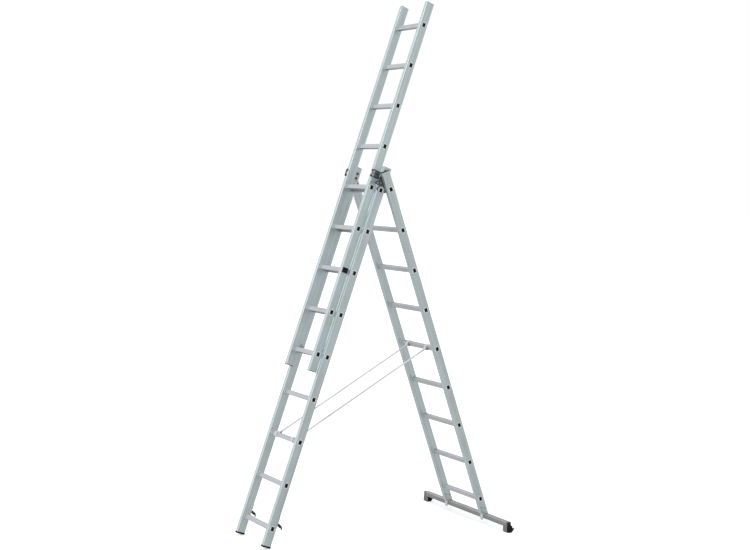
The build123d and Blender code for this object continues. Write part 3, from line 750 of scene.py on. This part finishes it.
def make_rung_plugs(section, paints):
    """Moulded plugs in the rung ends, each with an eased rim round a shallow dished panel."""
    node = f"{section.name}_rung_plugs"
    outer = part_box(node)[1].y
    wide, tall = RUNG_DEPTH - 2 * RUNG_WALL, RUNG_HEIGHT - 2 * RUNG_WALL
    corner = RUNG_CORNER - RUNG_WALL
    panel_wide, panel_tall = wide - 2 * PLUG_RIM, tall - 2 * PLUG_RIM
    levels = (
        (outer - PLUG_LENGTH, wide, tall, corner),
        (outer - PLUG_LIP, wide, tall, corner),
        (outer, wide - 2 * PLUG_LIP, tall - 2 * PLUG_LIP, corner - PLUG_LIP),
        (outer, panel_wide, panel_tall, corner * RIM_CORNER),
        (outer - PLUG_DISH, panel_wide - PLUG_DISH, panel_tall - PLUG_DISH, corner * DISH_CORNER),
    )
    mesh = bmesh.new()
    for up in section.rung_ups():
        for hand in (RIGHT, LEFT):
            rings = []
            for level, width, height, radius in levels:
                outline = rounded_outline(width, height, radius)
                rings.append([(point.x, hand * level, up + point.y) for point in outline])
            add_loft(mesh, rings)
    plugs = finish_piece(f"{section.name}_plugs", mesh, paints["black"], section.matrix())
    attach(plugs, section.body)
    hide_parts(node)


# ---------------------------------------------------------------- guide shoes and soles

SHOE_THICK, SHOE_RIB_THICK = 0.0046, 0.003
SHOE_RAIL, SHOE_RIB, SHOE_RIBS = 0.0048, 0.0045, 4
SHOE_RIB_SPARE, SHOE_RIB_BAYS, SHOE_BACK_INSET = 0.004, 0.9, 0.001
SHOE_WEB_FRONT, SHOE_WEB_HALF = 0.01, 0.0012
SOLE_THICK, SOLE_EDGE, SOLE_CORNER = 0.011, 0.003, 0.004
SOLE_GROOVE, SOLE_GROOVE_DEPTH, SOLE_GROOVE_EASE = 0.0022, 0.0009, 0.0004
SOLE_GROOVE_DROPS = (0.0025, 0.0062)
SOLE_EDGE_STEPS = 6


def add_shoe_bar(mesh, hand, inner, thick, backs, ups):
    """One bar of a shoe, out from the guide's face, between two backs and two ups."""
    sides = sorted((hand * inner, hand * (inner + thick)))
    add_box(mesh, (backs[0], sides[0], ups[0]), (backs[1], sides[1], ups[1]))


def make_guide_shoes(paints):
    """Plastic shoes outside both guides: a rail above and below, joined by upright ribs."""
    low, high = MIDDLE.extent("guide_shoes")
    inner = high.y - SHOE_THICK
    pitch = (high.x - low.x - SHOE_RIB_SPARE) / (SHOE_RIBS + SHOE_RIB_BAYS)
    middle = (low.z + high.z) / 2
    rails = ((high.z - SHOE_RAIL, high.z), (low.z, low.z + SHOE_RAIL))
    between = (low.z + SHOE_RAIL, high.z - SHOE_RAIL)
    mesh = bmesh.new()
    for hand in (RIGHT, LEFT):
        for ups in rails:
            add_shoe_bar(mesh, hand, inner, SHOE_THICK, (low.x, high.x), ups)
        for number in range(SHOE_RIBS):
            back = high.x - SHOE_RIB / 2 - SHOE_BACK_INSET - number * pitch
            backs = (back - SHOE_RIB / 2, back + SHOE_RIB / 2)
            add_shoe_bar(mesh, hand, inner, SHOE_RIB_THICK, backs, between)
        backs = (low.x + SHOE_WEB_FRONT, high.x - SHOE_RIB)
        ups = (middle - SHOE_WEB_HALF, middle + SHOE_WEB_HALF)
        add_shoe_bar(mesh, hand, inner, SHOE_RIB_THICK / 2, backs, ups)
    shoes = finish_piece("guide_shoe_mouldings", mesh, paints["shoe"], MIDDLE.matrix(), bevel=0.0006)
    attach(shoes, MIDDLE.body)
    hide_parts("guide_shoes")


def make_soles(paints):
    """Rubber soles under the middle stiles: eased blocks with two grooves round them."""
    low, high = MIDDLE.extent("middle_soles")
    depth = high.x - low.x
    stile_low, stile_high = MIDDLE.extent("middle_stile_left")
    width = 2 * (high.y - (stile_low.y + stile_high.y) / 2)
    side = high.y - width / 2
    top = low.z + SOLE_THICK
    levels = [(top, 0)]
    for drop in SOLE_GROOVE_DROPS:
        groove = top - drop
        levels += [(groove, 0), (groove - SOLE_GROOVE_EASE, SOLE_GROOVE_DEPTH)]
        levels += [(groove - SOLE_GROOVE + SOLE_GROOVE_EASE, SOLE_GROOVE_DEPTH), (groove - SOLE_GROOVE, 0)]
    for step in range(SOLE_EDGE_STEPS + 1):
        angle = math.radians(90 * step / SOLE_EDGE_STEPS)
        level = low.z + SOLE_EDGE * (1 - math.sin(angle))
        if level < levels[-1][0]:
            levels.append((level, SOLE_EDGE * (1 - math.cos(angle))))
    mesh = bmesh.new()
    for hand in (RIGHT, LEFT):
        rings = []
        for level, inset in levels:
            outline = rounded_outline(depth - 2 * inset, width - 2 * inset, SOLE_CORNER - inset)
            rings.append([((low.x + high.x) / 2 + x, hand * side + y, level) for x, y in outline])
        add_loft(mesh, rings)
    soles = finish_piece("ribbed_soles", mesh, paints["rubber"], MIDDLE.matrix())
    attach(soles, MIDDLE.body)
    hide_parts("middle_soles")


make_camera()
make_world()
make_floor()
make_sun()
bpy.context.scene.view_settings.view_transform = "Standard"

paints = make_paints()
paint_nodes(paints)
make_straps()
for section in (MIDDLE, REAR, TOP):
    make_rung_plugs(section, paints)
make_guide_shoes(paints)
make_soles(paints)
